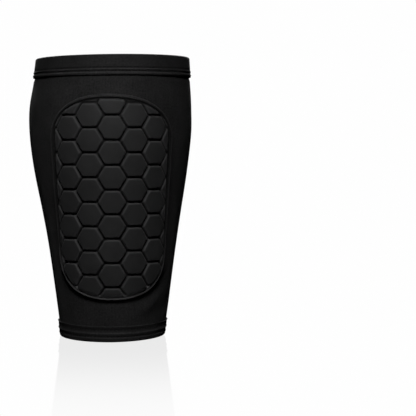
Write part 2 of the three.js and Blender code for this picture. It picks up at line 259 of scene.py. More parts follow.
def stitches(name, centres, directions, normals, length, radius=0.24, bow=0.12):
    """One thread: a row of short tapered stitches, each a slim closed tube."""
    rings, sides, taper = 7, 6, 0.96
    t = np.linspace(-1, 1, rings)
    thick = radius * np.sqrt(np.clip(1 - (np.abs(t) * taper) ** 3, 0, 1))
    turn = np.arange(sides) / sides * 2 * math.pi
    side = unit(np.cross(directions, normals))
    up = unit(np.cross(side, directions))
    axis = (
        centres[:, None, :]
        + directions[:, None, :] * (t * length / 2)[None, :, None]
        + up[:, None, :] * (bow * (1 - t**2))[None, :, None]
    )
    ring = (
        side[:, None, None, :] * np.cos(turn)[None, None, :, None]
        + up[:, None, None, :] * np.sin(turn)[None, None, :, None]
    ) * thick[None, :, None, None]
    points = (axis[:, :, None, :] + ring).reshape(len(centres), -1, 3)
    one = grid_faces(rings, sides, wrap_columns=True)
    caps = [list(range(sides))[::-1], list(range((rings - 1) * sides, rings * sides))]
    faces = []
    for k in range(len(centres)):
        start = k * rings * sides
        faces += (one + start).tolist()
        faces += [[v + start for v in cap] for cap in caps]
    return new_object(name, points, faces, THREAD)


def add_values(obj, name, values):
    """One number for each vertex, for the material to use."""
    layer = obj.data.attributes.new(name, "FLOAT", "POINT")
    layer.data.foreach_set("value", np.asarray(values, np.float32))


def finish_piece(obj, slot, *nodes):
    """The piece rides on the part's one body and stands for its CAD nodes."""
    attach(obj, "root")
    if nodes:
        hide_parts(*nodes)
    return obj


# ---- materials

# How strongly painted shade darkens and painted highlight lightens a cloth's colour.
PAINTED_SHADE_STRENGTH = 0.95
PAINTED_HIGHLIGHT_STRENGTH = 1.0


class Nodes:
    """A small helper to write node graphs."""

    def __init__(self, name):
        self.material = bpy.data.materials.new(name)
        self.material.use_nodes = True
        self.tree = self.material.node_tree
        self.shader = self.tree.nodes["Principled BSDF"]

    def add(self, kind, **inputs):
        node = self.tree.nodes.new(kind)
        for key, value in inputs.items():
            self.feed(node, key, value)
        return node

    def feed(self, node, key, value):
        socket = node.inputs[key]
        if isinstance(value, bpy.types.NodeSocket):
            self.tree.links.new(value, socket)
        else:
            socket.default_value = value

    def math(self, operation, a, b=0.0, c=0.0):
        node = self.tree.nodes.new("ShaderNodeMath")
        node.operation = operation
        for i, value in enumerate((a, b, c)):
            self.feed(node, i, value)
        return node.outputs[0]

    def weighted(self, *terms):
        """The sum of terms, each a value and its weight."""
        total = self.math("MULTIPLY", *terms[0])
        for value, weight in terms[1:]:
            total = self.math("MULTIPLY_ADD", value, weight, total)
        return total

    def wave(self, value, pitch):
        """A sine along a length in metres, with its pitch in millimetres."""
        return self.math("SINE", self.math("MULTIPLY", value, 2 * math.pi * MM_IN_METRE / pitch))

    def noise(self, vector, scale, detail=2.0, roughness=0.5):
        node = self.add(
            "ShaderNodeTexNoise", Vector=vector, Scale=scale, Detail=detail, Roughness=roughness
        )
        return node.outputs["Fac"]

    def uv(self):
        node = self.tree.nodes.new("ShaderNodeUVMap")
        node.uv_map = "Cloth"
        split = self.add("ShaderNodeSeparateXYZ", Vector=node.outputs["UV"])
        return node.outputs["UV"], split.outputs["X"], split.outputs["Y"]

    def place(self):
        return self.tree.nodes.new("ShaderNodeTexCoord").outputs["Object"]

    def attribute(self, name):
        node = self.tree.nodes.new("ShaderNodeAttribute")
        node.attribute_name = name
        return node.outputs["Fac"]

    def painted_light(self):
        """Painted shade darkens the colour along the marked grooves and needle lines; painted
        highlight lightens it on the marked edges and crests.
        """
        kept = self.math("MULTIPLY_ADD", self.attribute("painted_shade"), -PAINTED_SHADE_STRENGTH, 1.0)
        return self.math("MULTIPLY_ADD", self.attribute("painted_highlight"), PAINTED_HIGHLIGHT_STRENGTH, kept)

    def spread(self, value, low, high):
        """A factor from 0 to 1 spread between two values."""
        return self.math("MULTIPLY_ADD", value, high - low, low)

    def grey(self, value, tint=(1.0, 1.0, 1.0)):
        red, green, blue = (self.math("MULTIPLY", value, t) for t in tint)
        return self.add("ShaderNodeCombineColor", Red=red, Green=green, Blue=blue).outputs[0]

    def finish(self, colour, roughness, height, depth, sheen, specular):
        bump = self.add("ShaderNodeBump", Strength=1.0, Distance=depth * MM, Height=height)
        for key, value in (
            ("Base Color", colour),
            ("Roughness", roughness),
            ("Normal", bump.outputs[0]),
            ("Sheen Weight", sheen),
            ("Sheen Roughness", 0.5),
            ("Specular IOR Level", specular),
        ):
            self.feed(self.shader, key, value)
        return self.material


def knit_material(name, dark, light, wale, course, depth, roughness=0.85):
    """A fine knit: wales up the leg, each a chain of slanting loops, with heathered yarn."""
    n = Nodes(name)
    uv, across, up = n.uv()
    column = n.math("MULTIPLY", across, MM_IN_METRE / wale)
    half_drop = n.math("MULTIPLY", n.math("FLOOR", column), 0.5)
    rib = n.math("ABSOLUTE", n.math("SINE", n.math("MULTIPLY", column, math.pi)))
    row = n.math("MULTIPLY_ADD", up, MM_IN_METRE / course, half_drop)
    loop = n.math("SINE", n.math("MULTIPLY", row, 2 * math.pi))
    fuzz = n.noise(uv, scale=2600.0, detail=3.0)
    height = n.weighted((rib, 0.8), (loop, 0.22), (fuzz, 0.5))
    patches = n.noise(n.place(), scale=42.0, detail=4.0, roughness=0.65)
    narrow, tall = n.math("MULTIPLY", across, 9.0), n.math("MULTIPLY", up, 0.5)
    streaks = n.noise(n.add("ShaderNodeCombineXYZ", X=narrow, Y=tall).outputs[0], scale=100.0)
    yarn = n.noise(uv, scale=700.0)
    tone = n.weighted((yarn, 1.0), (patches, 0.9), (streaks, 0.4), (rib, 0.15))
    tone = n.math("SUBTRACT", tone, 0.75)
    # The colour carries painted shade and painted highlight from the mesh's attributes.
    colour = n.grey(n.math("MULTIPLY", n.spread(tone, dark, light), n.painted_light()), (1.0, 0.99, 1.01))
    rough = n.spread(patches, roughness - 0.06, roughness + 0.06)
    return n.finish(colour, rough, height, depth, sheen=0.02, specular=0.12)


def skin_material(name, dark, light, depth, roughness, specular):
    """A smooth, tightly woven stretch cloth with a fine pebble and faint scuffing."""
    n = Nodes(name)
    uv, across, up = n.uv()
    weave = n.math("MULTIPLY", n.wave(across, pitch=0.62), n.wave(up, pitch=0.62))
    pebble = n.noise(uv, scale=1500.0, detail=4.0, roughness=0.65)
    height = n.math("MULTIPLY_ADD", weave, 0.25, pebble)
    patches = n.noise(n.place(), scale=60.0, detail=4.0, roughness=0.6)
    tone = n.weighted((pebble, 0.4), (patches, 0.6))
    # The colour carries painted shade and painted highlight from the mesh's attributes.
    colour = n.grey(n.math("MULTIPLY", n.spread(tone, dark, light), n.painted_light()), (1.0, 1.0, 1.02))
    rough = n.spread(patches, roughness - 0.08, roughness + 0.08)
    return n.finish(colour, rough, height, depth, sheen=0.02, specular=specular)


def foam_material(name, dark, light):
    """Closed-cell foam: fine pores over a soft mottled tone."""
    n = Nodes(name)
    place = n.place()
    pores = n.add("ShaderNodeTexVoronoi", Vector=place, Scale=1400.0).outputs["Distance"]
    tone = n.weighted((n.noise(place, scale=120.0, detail=3.0), 0.4), (pores, 0.6))
    colour = n.grey(n.spread(tone, dark, light))
    return n.finish(colour, 0.95, pores, depth=0.08, sheen=0.0, specular=0.2)


def thread_material(name, dark, light):
    """Twisted polyester thread: slanting plies."""
    n = Nodes(name)
    place = n.place()
    split = n.add("ShaderNodeSeparateXYZ", Vector=place)
    run = n.math("ADD", split.outputs["X"], n.math("ADD", split.outputs["Y"], split.outputs["Z"]))
    ply = n.wave(run, pitch=0.3)
    tone = n.math("MULTIPLY_ADD", ply, 0.2, n.noise(place, scale=700.0))
    colour = n.grey(n.spread(tone, dark, light))
    return n.finish(colour, 0.7, ply, depth=0.03, sheen=0.02, specular=0.1)


KNIT = knit_material("knit_cloth", 0.005, 0.031, wale=1.15, course=0.8, depth=0.1)
HEM = knit_material("hem_cloth", 0.007, 0.030, wale=0.8, course=0.6, depth=0.04, roughness=0.8)
ELASTIC = knit_material("elastic_web", 0.02, 0.05, wale=1.6, course=1.2, depth=0.12)
COVER = skin_material("cover_cloth", 0.008, 0.028, depth=0.09, roughness=0.7, specular=0.24)
BINDING = knit_material(
    "binding_tape", 0.014, 0.040, wale=0.7, course=0.7, depth=0.05, roughness=0.7
)
BACKING = skin_material("backing_cloth", 0.012, 0.022, depth=0.04, roughness=0.8, specular=0.15)
FOAM = foam_material("pad_foam", 0.02, 0.045)
THREAD = thread_material("sewing_thread", 0.005, 0.018)


# ---- sleeve and hems


def soft_corner(points, radius):
    """A closed profile with its corners rounded."""
    corners = np.asarray(points, float)
    rounded = []
    for before, here, after in zip(np.roll(corners, 1, 0), corners, np.roll(corners, -1, 0)):
        start, end = (
            here + (other - here) * min(radius / np.linalg.norm(other - here), 0.45)
            for other in (before, after)
        )
        for t in (0.0, 0.5, 1.0):
            rounded.append((1 - t) ** 2 * start + 2 * t * (1 - t) * here + t**2 * end)
    return np.array(rounded)


def spaced(profile, longest):
    """A closed profile with its long sides split."""
    points = []
    for i, here in enumerate(profile):
        after = profile[(i + 1) % len(profile)]
        pieces = max(1, math.ceil(np.linalg.norm(after - here) / longest))
        points += [here + (after - here) * k / pieces for k in range(pieces)]
    return np.array(points)


def bumps(height, lines):
    """The sum of smooth ridges, each a height, a width and a size."""
    return sum(size * np.exp(-(((height - middle) / width) ** 2)) for middle, width, size in lines)


# Soft folds in the stretched knit: across, height, heading, length, width and depth outwards.
SOFT_FOLDS = (
    (30.0, 27.0, 0.6, 17.0, 5.0, 1.9),
    (48.0, 19.0, 0.65, 20.0, 6.0, -1.2),
    (-60.0, 196.0, 0.6, 26.0, 9.0, 0.9),
    (-64.0, 60.0, 1.75, 60.0, 7.0, 0.4),
    (66.0, 84.0, 1.4, 50.0, 6.0, 0.4),
    (-30.0, 204.0, 0.15, 30.0, 5.0, 0.2),
    (120.0, 120.0, 1.2, 50.0, 9.0, 0.4),
    (-125.0, 150.0, 1.9, 60.0, 9.0, 0.35),
    (-110.0, 50.0, 1.3, 40.0, 8.0, 0.4),
)
FOLDS_FROM, FOLDS_FADE_IN = 14.0, 14.0
FOLDS_TO, FOLDS_FADE_OUT = 206.0, 16.0
UNEVEN_KNIT = 0.2
# Under the top hem the stitches pull the knit in: height, width and depth.
HEM_PINCH = ((TOP_BAND_LOW - 0.2, 1.2, 0.8),)


def sleeve_relief(run, height):
    """The knit isn't perfectly even: shallow hollows and swellings, none at the hems."""
    calm = np.clip((height - FOLDS_FROM) / FOLDS_FADE_IN, 0, 1)
    calm = calm * np.clip((FOLDS_TO - height) / FOLDS_FADE_OUT, 0, 1)
    relief = UNEVEN_KNIT * waves(run, height * 0.8, seed=5, count=7, longest=95.0, shortest=38.0)
    for across, up, heading, length, width, depth in SOFT_FOLDS:
        dx, dz = run - across, height - up
        ahead = dx * math.cos(heading) + dz * math.sin(heading)
        aside = -dx * math.sin(heading) + dz * math.cos(heading)
        relief = relief + depth * np.exp(-((ahead / length) ** 2) - (aside / width) ** 2)
    return relief * calm - bumps(height, HEM_PINCH)


def wall_profile(inner, outer, low, high, radius, longest):
    """The closed profile of a cloth wall with rounded edges."""
    corners = [(inner, low), (outer, low), (outer, high), (inner, high)]
    return spaced(soft_corner(corners, radius), longest)


profile = wall_profile(-KNIT_THICKNESS, 0.0, SLEEVE_LOW, SLEEVE_HIGH, 0.3, 2.2)
sleeve = hoop("sleeve", KNIT, profile[:, 0], profile[:, 1], 300, sleeve_relief)
finish_piece(sleeve, "knit", "sleeve_body")


STITCH_PITCH = 2.6
FOLD_RADIUS = (HEM_OUTER - HEM_INNER) / 2
HEM_ROW = 0.42  # between the rows of points down a hem's outer wall
HEM_RELIEF, HEM_DIMPLE, UNEVEN_HEM = 0.42, 0.08, 0.06
THREAD_SUNK = 0.28


def hem_band(name, node, fold, edge, sewn, raised, columns):
    """A folded hem: rounded fold, two walls round the elastic, needle lines and swells between."""
    up = 1 if fold > edge else -1
    middle = (HEM_OUTER + HEM_INNER) / 2
    lining, facing = HEM_INNER + HEM_CLOTH, HEM_OUTER - HEM_CLOTH
    fold_centre = fold - up * FOLD_RADIUS
    outer = [(HEM_OUTER, h) for h in np.arange(edge + up * 0.45, fold_centre, up * HEM_ROW)]
    crest = [
        (middle + FOLD_RADIUS * math.cos(a), fold_centre + up * FOLD_RADIUS * math.sin(a))
        for a in np.linspace(0, math.pi, 15)
    ]
    inner = [(HEM_INNER, h) for h in np.linspace(fold_centre - up, edge + up * 0.5, 8)]
    slot = [
        (HEM_INNER + HEM_CLOTH * 0.5, edge),
        (lining, edge + up * 0.5),
        (lining, fold_centre),
        (middle, fold - up * HEM_CLOTH),
        (facing, fold_centre),
        (facing, edge + up * 0.5),
        (facing + 0.12, edge + up * 0.1),
        (HEM_OUTER - HEM_CLOTH * 0.3, edge),
    ]
    points = np.array(outer + crest + inner + slot)
    is_outer = np.zeros(len(points))
    is_outer[: len(outer) + 5] = 1

    def lift(run, height):
        relief = HEM_RELIEF * (bumps(height, raised) - bumps(height, sewn))
        stitch = HEM_DIMPLE * bumps(height, sewn) * np.cos(2 * math.pi * run / STITCH_PITCH)
        sway = UNEVEN_HEM * waves(run, height * 2, seed=11, count=5, longest=60.0, shortest=25.0)
        return (relief + stitch + sway) * is_outer[:, None]

    order = slice(None) if up > 0 else slice(None, None, -1)
    shape = points[order]
    is_outer = is_outer[order]
    band = hoop(name, HEM, shape[:, 0], shape[:, 1], columns, lift)
    # Painted shade along the needle lines, painted highlight on the swells between them.
    for look, lines in (("painted_shade", sewn), ("painted_highlight", raised)):
        add_values(band, look, np.repeat(bumps(shape[:, 1], lines) * is_outer, columns))
    return finish_piece(band, "hem", node)


def hem_thread(name, node, height):
    """A row of needle stitches round a hem, sunk a little into it."""
    outwards = HEM_OUTER - THREAD_SUNK
    angles = angles_round(round(GIRTH * float(along(height, 1)) / STITCH_PITCH))
    step = 0.002
    centres = on_leg(angles, height, outwards)
    ahead, back = (on_leg(angles + turn, height, outwards) for turn in (step, -step))
    directions = unit(ahead - back)
    normals = on_leg(angles, height, outwards + 1) - centres
    length = STITCH_PITCH * 0.86
    return finish_piece(stitches(name, centres, directions, normals, length), "thread", node)


# Where the needles draw each hem in and where it swells between them: height, width, size. The same
# lines carry painted shade along the needle lines and painted highlight on the swells.
TOP_SEWN = ((214.8, 0.45, 0.8), (212.2, 0.5, 0.9))
TOP_RAISED = ((213.5, 0.5, 1.0), (210.7, 0.6, 1.1))
BOTTOM_SEWN = ((9.9, 0.6, 0.4), (4.5, 0.5, 0.9), (10.8, 1.4, 0.45))
BOTTOM_RAISED = ((12.75, 0.35, 1.0), (7.0, 0.7, 1.1), (3.1, 0.6, 0.7))

top_band = hem_band("top_hem", "top_band", HEIGHT, TOP_BAND_LOW, TOP_SEWN, TOP_RAISED, 640)
bottom_band = hem_band(
    "bottom_hem", "bottom_band", 0.0, BOTTOM_BAND_HIGH, BOTTOM_SEWN, BOTTOM_RAISED, 480
)
hem_rows = [
    hem_thread(f"{end}_hem_stitches_{row}", f"{end}_hem_thread_{row}", height)
    for end, rows in (("top", TOP_THREADS), ("bottom", BOTTOM_THREADS))
    for row, height in rows.items()
]


def elastic(name, node, low, high):
    """The elastic tape inside a hem."""
    wall = wall_profile(ELASTIC_INNER, ELASTIC_OUTER, low, high, 0.25, 0.9)
    return finish_piece(hoop(name, ELASTIC, *wall.T, 240), "elastic", node)


elastic("top_elastic_web", "top_elastic", *TOP_ELASTIC)
elastic("bottom_elastic_web", "bottom_elastic", *BOTTOM_ELASTIC)


# ---- back seam

SEAM_HALF = 2.5
SEAM_LOW, SEAM_HIGH = 13.4, 208.6
SEAM_UNDER, SEAM_FOOT, SEAM_RISE = 0.3, 0.32, 0.58
# Across half the seam, from its edge to its middle: place and share of the rise.
SEAM_SECTION = [(-1, 0.0), (-0.94, 0.5), (-0.78, 0.85), (-0.55, 0.62), (-0.3, 0.9)]


def seam_tape_piece():
    """A flatlock seam up the calf: a raised tape with a furrow under each needle row."""
    heights = np.linspace(SEAM_LOW, SEAM_HIGH, 180)[:, None]
    mirrored = [(-place, share) for place, share in reversed(SEAM_SECTION)]
    section = np.array(SEAM_SECTION + [(0, 1.0)] + mirrored)
    angles = math.pi + section[:, 0][None, :] * SEAM_HALF / along(heights, 1)
    out = SEAM_FOOT + SEAM_RISE * section[:, 1][None, :] + 0 * heights
    out = out + 0.05 * np.sin(heights * 2 * math.pi / STITCH_PITCH) * (out > 0.4)
    top = on_leg(angles, heights, out)
    under = on_leg(angles, heights, SEAM_UNDER)
    rows, columns = top.shape[:2]
    points = np.concatenate([top, under[:, ::-1]], 1)
    quads = grid_faces(rows, 2 * columns, wrap_columns=True)[:, ::-1]
    ends = [
        list(range(2 * columns)),
        list(range((rows - 1) * 2 * columns, rows * 2 * columns))[::-1],
    ]
    uv = np.stack([angles * along(heights, 1), heights + 0 * angles], -1)
    uv = np.concatenate([uv, uv[:, ::-1]], 1)
    tape = new_object("back_seam_tape", points, quads.tolist() + ends, HEM, uv)
    return finish_piece(tape, "thread", "back_seam")


def seam_stitches():
    """Two needle rows up the seam, and between them the threads that cross it both ways."""
    heights = np.arange(SEAM_LOW + 1.6, SEAM_HIGH - 1.1, STITCH_PITCH)
    centres, directions = [], []
    for across, lean, out in ((-1.35, 0, 0.72), (1.35, 0, 0.72), (0, 1, 0.95), (0, -1, 0.98)):
        centres.append(on_leg(math.pi + across / along(heights, 1), heights, out))
        direction = [float(lean), 0.0, 0.45 if lean else 1.0]
        directions.append(np.repeat([direction], len(heights), 0))
    centres, directions = np.concatenate(centres), unit(np.concatenate(directions))
    normals = np.repeat([[0.0, 1.0, 0.0]], len(centres), 0)
    length = STITCH_PITCH * 0.95
    row = stitches("back_seam_stitches", centres, directions, normals, length, radius=0.2, bow=0.1)
    return finish_piece(row, "thread")


seam_tape, seam_row = seam_tape_piece(), seam_stitches()


# ---- the pad's flat pattern


def pad_outline(count):
    """The pad's outline laid flat, as evenly spaced points, anticlockwise."""
    angle = (np.arange(960) + 0.5) / 960 * 2 * math.pi
    upper = np.sin(angle) > 0
    power = 2 / PAD_ROUNDNESS
    across = np.sign(np.cos(angle)) * np.abs(np.cos(angle)) ** power
    across = across * np.where(upper, PAD_HALF_WIDTH["high"], PAD_HALF_WIDTH["low"])
    rise = np.sign(np.sin(angle)) * np.abs(np.sin(angle)) ** power
    over = PAD_STRAIGHT["high"] + rise * (PAD_TOP - PAD_STRAIGHT["high"])
    over = over - PAD_TOP_LEAN * across * rise
    under = PAD_STRAIGHT["low"] + rise * (PAD_STRAIGHT["low"] - PAD_BOTTOM)
    height = np.where(upper, over, under)
    points = np.stack([across, height], -1)
    closed = np.concatenate([points, points[:1]])
    lengths = np.concatenate([[0], np.cumsum(np.linalg.norm(np.diff(closed, axis=0), axis=1))])
    wanted = np.arange(count) / count * lengths[-1]
    return np.stack([np.interp(wanted, lengths, closed[:, i]) for i in range(2)], -1), lengths[-1]


def inset(points, distance):
    """A closed line moved inwards along its normals."""
    run = unit(np.roll(points, -1, 0) - np.roll(points, 1, 0))
    return points + np.stack([-run[:, 1], run[:, 0]], -1) * distance


OUTLINE, OUTLINE_LENGTH = pad_outline(240)


def depth_inside(points, polygon):
    """Distance of points from a convex outline, more than 0 inside."""
    edges = unit(np.roll(polygon, -1, 0) - polygon)
    distance = np.full(len(points), np.inf)
    for start, edge in zip(polygon, edges):
        off = points - start
        distance = np.minimum(distance, edge[0] * off[:, 1] - edge[1] * off[:, 0])
    return distance


def hex_centre(column, number):
    """The middle of a block, counted down its column; odd columns sit half a block lower."""
    highest = HEX_JOINT + HEX_PITCH * (1.5 if column % 2 == 0 else 1.0)
    return np.array([column * HEX_SIDE * 1.5, highest - number * HEX_PITCH])


HEX_NORMALS = np.array(
    [(math.cos(a), math.sin(a)) for a in (math.pi / 6 + k * math.pi / 3 for k in range(6))]
)


def clip(polygon, window):
    """The part of a convex polygon inside another, both anticlockwise."""
    kept = list(polygon)
    for start, end in zip(window, np.roll(window, -1, 0)):
        edge = end - start
        sides = [edge[0] * (p - start)[1] - edge[1] * (p - start)[0] for p in kept]
        after = []
        for k, point in enumerate(kept):
            j = (k + 1) % len(kept)
            if sides[k] >= 0:
                after.append(point)
            if sides[k] * sides[j] < 0:
                after.append(point + (kept[j] - point) * sides[k] / (sides[k] - sides[j]))
        kept = after
        if not kept:
            return np.zeros((0, 2))
    return np.array(kept)


def honeycomb():
    """The cells of the pad, each its column, its number down the column and its outline."""
    window = inset(pad_outline(48)[0], RIM + CHANNEL)
    turns = np.arange(6) * math.pi / 3
    hexagon = HEX_SIDE * np.stack([np.cos(turns), np.sin(turns)], -1)
    cells = []
    for column in range(-LAST_COLUMN, LAST_COLUMN + 1):
        number = 1
        for k in range(BLOCKS_IN_COLUMN):
            polygon = clip(hex_centre(column, k) + hexagon, window)
            if len(polygon) > 2:
                cells.append((column, number, polygon))
                number += 1
    return cells


# ---- pad cover

COVER_CLOTH = 0.6
LATTICE = 18  # steps along one side of a hexagon
STEP = HEX_SIDE / LATTICE
ROW = HEX_PITCH / (2 * LATTICE)
COVER_EDGE = 0.9  # where the cover ends, inside the bound edge
WINDOW = RIM + 1.5  # where the cells' shoulders start, in from the pad's outline
GROOVE, GROOVE_HALF = 1.7, 0.5
GROOVE_RUN_IN = 1.5  # over which a groove sinks from the channel to its own level
CROWN, DOME, DOME_REACH = 4.75, 0.2, 8.0
CHANNEL_LEVEL = 2.3
UNDER_TAPE, UNDER_TAPE_RUN = 0.5, 1.2  # the cover rises a little where the tape holds it
SHOULDER, EDGE_SHOULDER = 1.7, 1.1
SMALL_CELL_DROP = 1.8
SMALL_CELL, WHOLE_CELL = 1.0, 3.4  # depth of a cell that drops fully, and of one that doesn't
CELL_ROUNDING, GROOVE_ROUNDING = 2.6, 3.0
UNEVEN_COVER = 0.06
TOE_FILL = 1.3  # the channel is shallower at the pad's lower end
TOE_TOP, TOE_RUN = 80.0, 35.0
THINNED = 0.7  # share of the cloth's thickness left where it is pressed
PAINTED_SHADE_DEPTH = 0.8  # below the crown, where painted shade starts to darken the cloth
GROOVE_REACH = 1.1  # from a groove's middle to the ridge beside it
# Half width of the painted highlight along each groove's shoulder.
RIDGE_HALF = 0.6
# How far in from the cells' edge the pad's lower end gets painted highlight in the channel.
TOE_HIGHLIGHT_REACH = 0.9


def toe_share(height):
    """How much a place belongs to the pad's lower end, the part that meets boots and the ground."""
    return np.clip((TOE_TOP - height) / TOE_RUN, 0, 1)


def rise(distance, width, power=2.3):
    """From 0 at a groove up a steep rounded shoulder to 1."""
    t = np.clip(distance / width, 0, 1)
    return (1 - (1 - t) ** power) ** (1 / power)


def soft_min(distances, sharpness):
    """The least of several distances, with the corners between them rounded."""
    least = np.min(distances, axis=0)
    return least - np.log(np.exp(-sharpness * (distances - least)).sum(0)) / sharpness


def cell_of(points):
    """For each point the column and middle of its hexagon and its distances from the six sides."""
    best = np.full(len(points), np.inf)
    column_of = np.zeros(len(points), int)
    middle_of = np.zeros((len(points), 2))
    for column in range(-LAST_COLUMN - 1, LAST_COLUMN + 2):
        base = hex_centre(column, 0)
        number = np.round((base[1] - points[:, 1]) / HEX_PITCH)
        centre = np.stack([np.full(len(points), base[0]), base[1] - number * HEX_PITCH], -1)
        far = np.linalg.norm(points - centre, axis=1)
        nearer = far < best - 1e-9
        best[nearer] = far[nearer]
        column_of[nearer] = column
        middle_of[nearer] = centre[nearer]
    off = points - middle_of
    sides = HEX_PITCH / 2 - off @ HEX_NORMALS.T
    return column_of, middle_of, sides.T


def cover_height(points):
    """How far the cover's top stands above the sleeve, and each point's distance inside its cell."""
    column, middle, sides = cell_of(points)
    edge = depth_inside(points, OUTLINE)
    window = edge - WINDOW
    toe = TOE_FILL * toe_share(points[:, 1])
    distances = np.concatenate([sides, window[None, :]])
    distance = np.clip(soft_min(distances, CELL_ROUNDING), 0, None)

    places = np.stack([column, np.round(middle[:, 1])], -1)
    cell = np.unique(places, axis=0, return_inverse=True)[1].ravel()
    deepest = np.zeros(cell.max() + 1)
    np.maximum.at(deepest, cell, distance)
    wholeness = np.clip((deepest[cell] - SMALL_CELL) / (WHOLE_CELL - SMALL_CELL), 0, 1)
    sunk = np.where(np.abs(column) >= LAST_COLUMN, EDGE_DROP, SMALL_CELL_DROP * (1 - wholeness))
    crown = CROWN - sunk

    dome = DOME * (1 - (1 - np.clip(distance / DOME_REACH, 0, 1)) ** 2)
    uneven = waves(points[:, 0], points[:, 1], seed=23, count=8, longest=22.0, shortest=8.0)
    uneven = UNEVEN_COVER * uneven * rise(distance, 6.0)
    from_groove = np.clip(soft_min(sides, GROOVE_ROUNDING) - GROOVE_HALF, 0, None)
    groove = rise(from_groove, SHOULDER, 2.9)
    border = rise(np.clip(window, 0, None), EDGE_SHOULDER + toe, 2.2)
    run_in = np.clip(window / GROOVE_RUN_IN, 0, 1)
    base = CHANNEL_LEVEL + (GROOVE - CHANNEL_LEVEL) * run_in + toe * (1 - run_in)
    top = base + (crown - base) * groove * border + dome + uneven
    floor = CHANNEL_LEVEL + UNDER_TAPE * np.clip((RIM + 0.3 - edge) / UNDER_TAPE_RUN, 0, 1)
    floor = floor + toe * np.clip((edge - RIM + 0.4) / UNDER_TAPE_RUN, 0, 1)
    return np.where(window > 0, top, floor), distance


def cover_lattice():
    """Points on a triangular lattice whose lines follow the grooves, and its triangles."""
    lowest = math.floor((PAD_BOTTOM - HEX_JOINT) / ROW)
    highest = math.ceil((PAD_TOP + 2 - HEX_JOINT) / ROW)
    rows = np.arange(lowest, highest + 1)
    half = math.ceil((PAD_HALF_WIDTH["high"] + 1) / STEP)
    j, i = np.meshgrid(rows, np.arange(-half, half + 1), indexing="ij")
    x = (i + np.where(j % 2 == 0, 0.0, 0.5)) * STEP
    flat = np.stack([x, HEX_JOINT + j * ROW], -1).reshape(-1, 2)
    index = np.arange(len(flat)).reshape(x.shape)
    a, b = index[:-1, :-1], index[:-1, 1:]
    c, d = index[1:, :-1], index[1:, 1:]
    even = (rows[:-1] % 2 == 0)[:, None, None]
    first = np.where(even, np.stack([a, b, c], -1), np.stack([a, b, d], -1))
    second = np.where(even, np.stack([b, d, c], -1), np.stack([a, d, c], -1))
    triangles = np.concatenate([first.reshape(-1, 3), second.reshape(-1, 3)])
    inside = depth_inside(flat, OUTLINE) > COVER_EDGE
    triangles = triangles[inside[triangles].all(1)]
    used = np.unique(triangles)
    renumber = np.full(len(flat), -1)
    renumber[used] = np.arange(len(used))
    return flat[used], renumber[triangles]


def pad_cover():
    """One moulded skin over every cell: its top, its underside and the walls that join them."""
    flat, triangles = cover_lattice()
    top, distance = cover_height(flat)
    thin = COVER_CLOTH * THINNED
    low = GROOVE - thin
    under = low + (top - COVER_CLOTH - low) * rise(distance - 0.9, SHOULDER)
    under = np.minimum(top - thin, under)
    edges = np.concatenate([triangles[:, [0, 1]], triangles[:, [1, 2]], triangles[:, [2, 0]]])
    keys = set(map(tuple, edges.tolist()))
    below = len(flat)
    walls = [[p, p + below, q + below, q] for p, q in edges.tolist() if (q, p) not in keys]
    faces = triangles.tolist() + (triangles[:, ::-1] + below).tolist() + walls
    points = np.concatenate([on_pad(*flat.T, top), on_pad(*flat.T, under)])
    obj = new_object("honeycomb_cover", points, faces, COVER, np.concatenate([flat, flat]))

    # Painted shade in the grooves, and painted highlight on the grooves' shoulders and in the channel
    # at the pad's lower end.
    toe_highlight = toe_share(flat[:, 1]) * (depth_inside(flat, OUTLINE) < WINDOW + TOE_HIGHLIGHT_REACH)
    painted_shade = np.clip(CROWN - PAINTED_SHADE_DEPTH - top, 0, 1) * (distance < GROOVE_REACH) * (1 - toe_highlight)
    ridge = np.exp(-(((distance - GROOVE_REACH) / RIDGE_HALF) ** 2))
    unseen = np.zeros(len(flat))
    add_values(obj, "painted_shade", np.concatenate([painted_shade, unseen]))
    add_values(obj, "painted_highlight", np.concatenate([np.maximum(ridge, toe_highlight), unseen]))
    return obj


cover = finish_piece(pad_cover(), "cover", "pad_cover")


# ---- pad rim, stitches, backing


def pad_hoop(name, material, section, count, lift):
    """A closed section of (inwards, out) points, clockwise with out upwards, round the pad."""
    line, length = pad_outline(count)
    run = np.arange(count) / count * length
    rings, uv = [], []
    girth = 0.0
    for k, (inwards, out) in enumerate(section):
        flat = inset(line, inwards)
        level = out + lift(run, out)
        rings.append(on_pad(*flat.T, level))
        uv.append(np.stack([run, np.full(count, girth)], -1))
        after = section[(k + 1) % len(section)]
        girth += math.hypot(after[0] - inwards, after[1] - out)
    faces = grid_faces(len(section), count, wrap_rows=True, wrap_columns=True).tolist()
    return new_object(name, np.array(rings), faces, material, np.array(uv))


# Tape rolled over the pad's edge, in points (inwards, out): up from the sleeve, over the cover's
# edge and down to the channel.
RIM_OUTER = [(-0.2, 0.12), (-0.28, 0.55), (-0.2, 1.1), (0.02, 1.75), (0.3, 2.35), (0.62, 2.9)]
RIM_CREST = [(0.92, 3.32), (1.2, 3.6), (1.45, 3.68), (1.8, 3.55), (2.2, 3.3), (2.6, 2.98)]
RIM_INNER = [(2.88, 2.6), (3.0, 2.3), (2.7, 1.4), (1.6, 1.15), (0.8, 1.1), (0.1, 0.12)]
RIM_SECTION = RIM_OUTER + RIM_CREST + RIM_INNER
RIM_PITCH = 1.7
RIM_POINTS = 1100
SEEN_ABOVE = 2.0  # the part of the tape that shows stands higher than this
RIM_DIMPLE, UNEVEN_RIM = 0.2, 0.1
# Strength of the painted shade on the tape's inner slope and of the painted highlight on its crest.
RIM_PAINTED_SHADE, RIM_PAINTED_HIGHLIGHT = 0.85, 0.6


